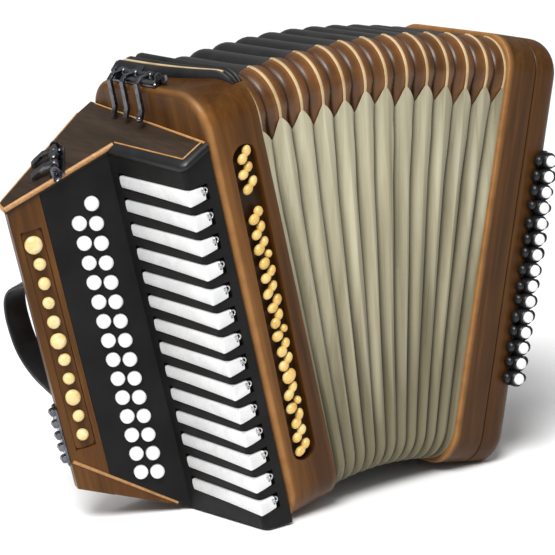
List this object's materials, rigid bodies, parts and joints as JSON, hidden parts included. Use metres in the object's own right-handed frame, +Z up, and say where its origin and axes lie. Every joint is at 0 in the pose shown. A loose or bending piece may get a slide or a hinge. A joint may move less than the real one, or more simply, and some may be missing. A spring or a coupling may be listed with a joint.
{
  "type": "accordion",
  "caption": "Free-standing accordion fanned open: piano keys and round buttons on the treble side, folding bellows, a bass side with buttons, and a hand strap.",
  "frame": {"origin": "on the ground, under the centre of the bounding box", "axes": "+Z up, +X from the treble side to the bass side, +Y to the back, where the hand strap is"},
  "size_m": [0.4765, 0.1832, 0.3703],
  "materials": {
    "walnut": "satin varnished brown wood with lighter worn edges",
    "dark_veneer": "satin, nearly black brown",
    "black_lacquer": "semi-gloss black",
    "ivory": "smooth off-white",
    "cream_pearl": "smooth cream",
    "gold_bead": "warm gold with a soft shine",
    "bellows_cloth": "pleated ivory cloth",
    "reed_wood": "plain pale wood",
    "steel": "bright",
    "black_metal": "dark polished metal",
    "black_leather": "black, softly shiny"
  },
  "bodies": {
    "treble": {"treble_casing": "walnut", "bead_strip": "gold_bead", "treble_reed_block": "reed_wood", "keyboard_wing": "walnut", "fingerboard": "black_lacquer", "wing_lid": "dark_veneer", "stud_strip": "cream_pearl", "key_axle": "steel", "hand_strap": "black_leather", "strap_buckle": "black_metal", "top_latch_base": "black_metal", "lid_latch_base": "black_metal"},
    "fold_01": {"fold_01": "bellows_cloth"},
    "fold_02": {"fold_02": "bellows_cloth"},
    "fold_03": {"fold_03": "bellows_cloth"},
    "fold_04": {"fold_04": "bellows_cloth"},
    "fold_05": {"fold_05": "bellows_cloth"},
    "fold_06": {"fold_06": "bellows_cloth"},
    "fold_07": {"fold_07": "bellows_cloth"},
    "fold_08": {"fold_08": "bellows_cloth"},
    "fold_09": {"fold_09": "bellows_cloth"},
    "fold_10": {"fold_10": "bellows_cloth"},
    "fold_11": {"fold_11": "bellows_cloth"},
    "bass": {"bass_casing": "walnut", "bass_end_cover": "walnut", "bass_button_rail": "black_lacquer", "bass_reed_block": "reed_wood"},
    "key_01": {"key_01": "ivory"},
    "key_02": {"key_02": "ivory"},
    "key_03": {"key_03": "ivory"},
    "key_04": {"key_04": "ivory"},
    "key_05": {"key_05": "ivory"},
    "key_06": {"key_06": "ivory"},
    "key_07": {"key_07": "ivory"},
    "key_08": {"key_08": "ivory"},
    "key_09": {"key_09": "ivory"},
    "key_10": {"key_10": "ivory"},
    "key_11": {"key_11": "ivory"},
    "key_12": {"key_12": "ivory"},
    "key_13": {"key_13": "ivory"},
    "key_14": {"key_14": "ivory"},
    "button_set_01": {"button_set_01": "ivory"},
    "button_pair_02": {"button_pair_02": "ivory"},
    "button_pair_03": {"button_pair_03": "ivory"},
    "button_pair_04": {"button_pair_04": "ivory"},
    "button_pair_05": {"button_pair_05": "ivory"},
    "button_pair_06": {"button_pair_06": "ivory"},
    "button_pair_07": {"button_pair_07": "ivory"},
    "button_pair_08": {"button_pair_08": "ivory"},
    "button_pair_09": {"button_pair_09": "ivory"},
    "button_pair_10": {"button_pair_10": "ivory"},
    "button_pair_11": {"button_pair_11": "ivory"},
    "button_pair_12": {"button_pair_12": "ivory"},
    "button_pair_13": {"button_pair_13": "ivory"},
    "button_pair_14": {"button_pair_14": "ivory"},
    "bass_buttons_1": {"bass_buttons_1": "ivory"},
    "bass_buttons_2": {"bass_buttons_2": "ivory"},
    "bass_buttons_3": {"bass_buttons_3": "ivory"},
    "top_latch": {"top_latch_lever": "black_metal"},
    "lid_latch": {"lid_latch_lever": "black_metal"}
  },
  "joints": [
    {"name": "bellows_fold_01", "type": "hinge", "parent": "treble", "child": "fold_01", "pos_m": [-0.00692, -0.0041, 0.00915], "axis": [0, 1, 0], "range_deg": [-2.05, 1.5]},
    {"name": "bellows_fold_02", "type": "hinge", "parent": "fold_01", "child": "fold_02", "pos_m": [0.00268, -0.0041, 0.01087], "axis": [0, 1, 0], "range_deg": [-2.05, 1.5]},
    {"name": "bellows_fold_03", "type": "hinge", "parent": "fold_02", "child": "fold_03", "pos_m": [0.01233, -0.0041, 0.01225], "axis": [0, 1, 0], "range_deg": [-2.05, 1.5]},
    {"name": "bellows_fold_04", "type": "hinge", "parent": "fold_03", "child": "fold_04", "pos_m": [0.02203, -0.0041, 0.01328], "axis": [0, 1, 0], "range_deg": [-2.05, 1.5]},
    {"name": "bellows_fold_05", "type": "hinge", "parent": "fold_04", "child": "fold_05", "pos_m": [0.03175, -0.0041, 0.01396], "axis": [0, 1, 0], "range_deg": [-2.05, 1.5]},
    {"name": "bellows_fold_06", "type": "hinge", "parent": "fold_05", "child": "fold_06", "pos_m": [0.0415, -0.0041, 0.01429], "axis": [0, 1, 0], "range_deg": [-2.05, 1.5]},
    {"name": "bellows_fold_07", "type": "hinge", "parent": "fold_06", "child": "fold_07", "pos_m": [0.05125, -0.0041, 0.01426], "axis": [0, 1, 0], "range_deg": [-2.05, 1.5]},
    {"name": "bellows_fold_08", "type": "hinge", "parent": "fold_07", "child": "fold_08", "pos_m": [0.06099, -0.0041, 0.01389], "axis": [0, 1, 0], "range_deg": [-2.05, 1.5]},
    {"name": "bellows_fold_09", "type": "hinge", "parent": "fold_08", "child": "fold_09", "pos_m": [0.07072, -0.0041, 0.01316], "axis": [0, 1, 0], "range_deg": [-2.05, 1.5]},
    {"name": "bellows_fold_10", "type": "hinge", "parent": "fold_09", "child": "fold_10", "pos_m": [0.08041, -0.0041, 0.01208], "axis": [0, 1, 0], "range_deg": [-2.05, 1.5]},
    {"name": "bellows_fold_11", "type": "hinge", "parent": "fold_10", "child": "fold_11", "pos_m": [0.09005, -0.0041, 0.01066], "axis": [0, 1, 0], "range_deg": [-2.05, 1.5]},
    {"name": "bellows_fan", "type": "hinge", "parent": "fold_11", "child": "bass", "pos_m": [0.09964, -0.0041, 0.00888], "axis": [0, 1, 0], "range_deg": [-2.05, 1.5]},
    {"name": "key_01_press", "type": "hinge", "parent": "treble", "child": "key_01", "pos_m": [-0.14819, 0.01145, 0.2823], "axis": [-0.2123, 0, 0.9772], "range_deg": [0, 2.8], "stiffness_Nm_per_rad": 0.6, "springref_deg": -1.72},
    {"name": "key_02_press", "type": "hinge", "parent": "treble", "child": "key_02", "pos_m": [-0.14395, 0.01145, 0.26276], "axis": [-0.2123, 0, 0.9772], "range_deg": [0, 2.8], "stiffness_Nm_per_rad": 0.6, "springref_deg": -1.72},
    {"name": "key_03_press", "type": "hinge", "parent": "treble", "child": "key_03", "pos_m": [-0.1397, 0.01145, 0.24321], "axis": [-0.2123, 0, 0.9772], "range_deg": [0, 2.8], "stiffness_Nm_per_rad": 0.6, "springref_deg": -1.72},
    {"name": "key_04_press", "type": "hinge", "parent": "treble", "child": "key_04", "pos_m": [-0.13545, 0.01145, 0.22367], "axis": [-0.2123, 0, 0.9772], "range_deg": [0, 2.8], "stiffness_Nm_per_rad": 0.6, "springref_deg": -1.72},
    {"name": "key_05_press", "type": "hinge", "parent": "treble", "child": "key_05", "pos_m": [-0.13121, 0.01145, 0.20413], "axis": [-0.2123, 0, 0.9772], "range_deg": [0, 2.8], "stiffness_Nm_per_rad": 0.6, "springref_deg": -1.72},
    {"name": "key_06_press", "type": "hinge", "parent": "treble", "child": "key_06", "pos_m": [-0.12696, 0.01145, 0.18458], "axis": [-0.2123, 0, 0.9772], "range_deg": [0, 2.8], "stiffness_Nm_per_rad": 0.6, "springref_deg": -1.72},
    {"name": "key_07_press", "type": "hinge", "parent": "treble", "child": "key_07", "pos_m": [-0.12272, 0.01145, 0.16504], "axis": [-0.2123, 0, 0.9772], "range_deg": [0, 2.8], "stiffness_Nm_per_rad": 0.6, "springref_deg": -1.72},
    {"name": "key_08_press", "type": "hinge", "parent": "treble", "child": "key_08", "pos_m": [-0.11847, 0.01145, 0.1455], "axis": [-0.2123, 0, 0.9772], "range_deg": [0, 2.8], "stiffness_Nm_per_rad": 0.6, "springref_deg": -1.72},
    {"name": "key_09_press", "type": "hinge", "parent": "treble", "child": "key_09", "pos_m": [-0.11423, 0.01145, 0.12595], "axis": [-0.2123, 0, 0.9772], "range_deg": [0, 2.8], "stiffness_Nm_per_rad": 0.6, "springref_deg": -1.72},
    {"name": "key_10_press", "type": "hinge", "parent": "treble", "child": "key_10", "pos_m": [-0.10998, 0.01145, 0.10641], "axis": [-0.2123, 0, 0.9772], "range_deg": [0, 2.8], "stiffness_Nm_per_rad": 0.6, "springref_deg": -1.72},
    {"name": "key_11_press", "type": "hinge", "parent": "treble", "child": "key_11", "pos_m": [-0.10573, 0.01145, 0.08686], "axis": [-0.2123, 0, 0.9772], "range_deg": [0, 2.8], "stiffness_Nm_per_rad": 0.6, "springref_deg": -1.72},
    {"name": "key_12_press", "type": "hinge", "parent": "treble", "child": "key_12", "pos_m": [-0.10149, 0.01145, 0.06732], "axis": [-0.2123, 0, 0.9772], "range_deg": [0, 2.8], "stiffness_Nm_per_rad": 0.6, "springref_deg": -1.72},
    {"name": "key_13_press", "type": "hinge", "parent": "treble", "child": "key_13", "pos_m": [-0.09724, 0.01145, 0.04777], "axis": [-0.2123, 0, 0.9772], "range_deg": [0, 2.8], "stiffness_Nm_per_rad": 0.6, "springref_deg": -1.72},
    {"name": "key_14_press", "type": "hinge", "parent": "treble", "child": "key_14", "pos_m": [-0.093, 0.01145, 0.02823], "axis": [-0.2123, 0, 0.9772], "range_deg": [0, 2.8], "stiffness_Nm_per_rad": 0.6, "springref_deg": -1.72},
    {"name": "button_set_01_press", "type": "slide", "parent": "treble", "child": "button_set_01", "axis": [0.3431, 0.9363, 0.0745], "range_m": [0, 0.003], "stiffness_N_per_m": 200, "springref_m": -0.002},
    {"name": "button_pair_02_press", "type": "slide", "parent": "treble", "child": "button_pair_02", "axis": [0.3431, 0.9363, 0.0745], "range_m": [0, 0.003], "stiffness_N_per_m": 200, "springref_m": -0.002},
    {"name": "button_pair_03_press", "type": "slide", "parent": "treble", "child": "button_pair_03", "axis": [0.3431, 0.9363, 0.0745], "range_m": [0, 0.003], "stiffness_N_per_m": 200, "springref_m": -0.002},
    {"name": "button_pair_04_press", "type": "slide", "parent": "treble", "child": "button_pair_04", "axis": [0.3431, 0.9363, 0.0745], "range_m": [0, 0.003], "stiffness_N_per_m": 200, "springref_m": -0.002},
    {"name": "button_pair_05_press", "type": "slide", "parent": "treble", "child": "button_pair_05", "axis": [0.3431, 0.9363, 0.0745], "range_m": [0, 0.003], "stiffness_N_per_m": 200, "springref_m": -0.002},
    {"name": "button_pair_06_press", "type": "slide", "parent": "treble", "child": "button_pair_06", "axis": [0.3431, 0.9363, 0.0745], "range_m": [0, 0.003], "stiffness_N_per_m": 200, "springref_m": -0.002},
    {"name": "button_pair_07_press", "type": "slide", "parent": "treble", "child": "button_pair_07", "axis": [0.3431, 0.9363, 0.0745], "range_m": [0, 0.003], "stiffness_N_per_m": 200, "springref_m": -0.002},
    {"name": "button_pair_08_press", "type": "slide", "parent": "treble", "child": "button_pair_08", "axis": [0.3431, 0.9363, 0.0745], "range_m": [0, 0.003], "stiffness_N_per_m": 200, "springref_m": -0.002},
    {"name": "button_pair_09_press", "type": "slide", "parent": "treble", "child": "button_pair_09", "axis": [0.3431, 0.9363, 0.0745], "range_m": [0, 0.003], "stiffness_N_per_m": 200, "springref_m": -0.002},
    {"name": "button_pair_10_press", "type": "slide", "parent": "treble", "child": "button_pair_10", "axis": [0.3431, 0.9363, 0.0745], "range_m": [0, 0.003], "stiffness_N_per_m": 200, "springref_m": -0.002},
    {"name": "button_pair_11_press", "type": "slide", "parent": "treble", "child": "button_pair_11", "axis": [0.3431, 0.9363, 0.0745], "range_m": [0, 0.003], "stiffness_N_per_m": 200, "springref_m": -0.002},
    {"name": "button_pair_12_press", "type": "slide", "parent": "treble", "child": "button_pair_12", "axis": [0.3431, 0.9363, 0.0745], "range_m": [0, 0.003], "stiffness_N_per_m": 200, "springref_m": -0.002},
    {"name": "button_pair_13_press", "type": "slide", "parent": "treble", "child": "button_pair_13", "axis": [0.3431, 0.9363, 0.0745], "range_m": [0, 0.003], "stiffness_N_per_m": 200, "springref_m": -0.002},
    {"name": "button_pair_14_press", "type": "slide", "parent": "treble", "child": "button_pair_14", "axis": [0.3431, 0.9363, 0.0745], "range_m": [0, 0.003], "stiffness_N_per_m": 200, "springref_m": -0.002},
    {"name": "bass_buttons_1_press", "type": "slide", "parent": "bass", "child": "bass_buttons_1", "axis": [0, 1, 0], "range_m": [0, 0.0035], "stiffness_N_per_m": 250, "springref_m": -0.002},
    {"name": "bass_buttons_2_press", "type": "slide", "parent": "bass", "child": "bass_buttons_2", "axis": [0, 1, 0], "range_m": [0, 0.0035], "stiffness_N_per_m": 250, "springref_m": -0.002},
    {"name": "bass_buttons_3_press", "type": "slide", "parent": "bass", "child": "bass_buttons_3", "axis": [0, 1, 0], "range_m": [0, 0.0035], "stiffness_N_per_m": 250, "springref_m": -0.002},
    {"name": "top_latch_lift", "type": "hinge", "parent": "treble", "child": "top_latch", "pos_m": [-0.12961, 0.0089, 0.35785], "axis": [0, 1, 0], "range_deg": [0, 70]},
    {"name": "lid_latch_lift", "type": "hinge", "parent": "treble", "child": "lid_latch", "pos_m": [-0.19355, 0.03321, 0.29877], "axis": [0.5124, 0.7615, 0.3969], "range_deg": [0, 70]}
  ],
  "couplings": [
    {"joint": "bellows_fold_01", "follows": "bellows_fan", "ratio": 1},
    {"joint": "bellows_fold_02", "follows": "bellows_fan", "ratio": 1},
    {"joint": "bellows_fold_03", "follows": "bellows_fan", "ratio": 1},
    {"joint": "bellows_fold_04", "follows": "bellows_fan", "ratio": 1},
    {"joint": "bellows_fold_05", "follows": "bellows_fan", "ratio": 1},
    {"joint": "bellows_fold_06", "follows": "bellows_fan", "ratio": 1},
    {"joint": "bellows_fold_07", "follows": "bellows_fan", "ratio": 1},
    {"joint": "bellows_fold_08", "follows": "bellows_fan", "ratio": 1},
    {"joint": "bellows_fold_09", "follows": "bellows_fan", "ratio": 1},
    {"joint": "bellows_fold_10", "follows": "bellows_fan", "ratio": 1},
    {"joint": "bellows_fold_11", "follows": "bellows_fan", "ratio": 1}
  ]
}
